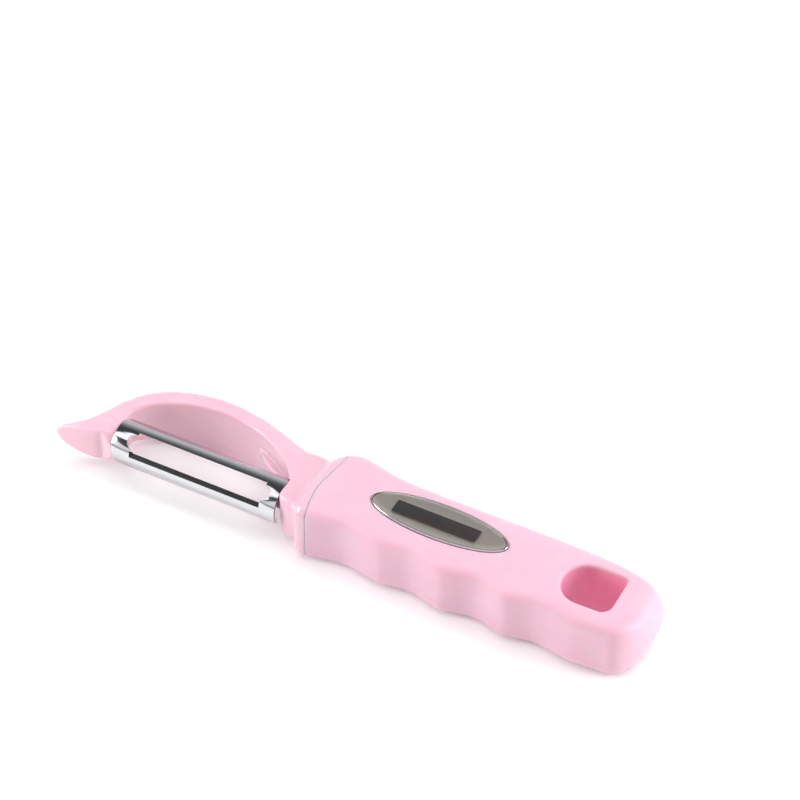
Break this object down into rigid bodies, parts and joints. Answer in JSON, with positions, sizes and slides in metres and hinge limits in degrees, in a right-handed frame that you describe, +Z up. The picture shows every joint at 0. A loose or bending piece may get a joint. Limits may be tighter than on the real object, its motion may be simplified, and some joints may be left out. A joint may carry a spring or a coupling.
{
  "type": "swivel peeler with corer tip",
  "caption": "Straight hand peeler lying on its side: pointed corer tip, arched bridge, half-tube blade that swivels, grip with finger grooves and a D-shaped hang hole.",
  "frame": {"origin": "on the surface it lies on, under the middle of the whole peeler's box", "axes": "+X along the length from the corer tip to the butt, +Y towards the arched spine (the finger grooves and cutting side face -Y), +Z up from the surface it lies on"},
  "size_m": [0.2002, 0.0364, 0.0216],
  "materials": {
    "head_plastic": "glossy moulded, light pink",
    "grip_plastic": "satin moulded, light pink",
    "blade_steel": "stainless, polished outside and ground at the slot",
    "pin_steel": "drawn stainless",
    "badge_steel": "brushed face with a polished rounded rim",
    "adhesive": "thin double-sided foam",
    "badge_ink": "blank satin dark panel"
  },
  "bodies": {
    "frame": {"head_frame": "head_plastic", "handle_grip": "grip_plastic", "front_pivot_pin": "pin_steel", "rear_pivot_pin": "pin_steel", "badge_plate": "badge_steel", "badge_adhesive": "adhesive", "badge_panel": "badge_ink"},
    "blade": {"blade": "blade_steel"}
  },
  "joints": [
    {"name": "blade_swivel", "type": "hinge", "parent": "frame", "child": "blade", "pos_m": [-0.0508, -0.00747, 0.0105], "axis": [1, 0, 0], "range_deg": [0, 110]}
  ]
}
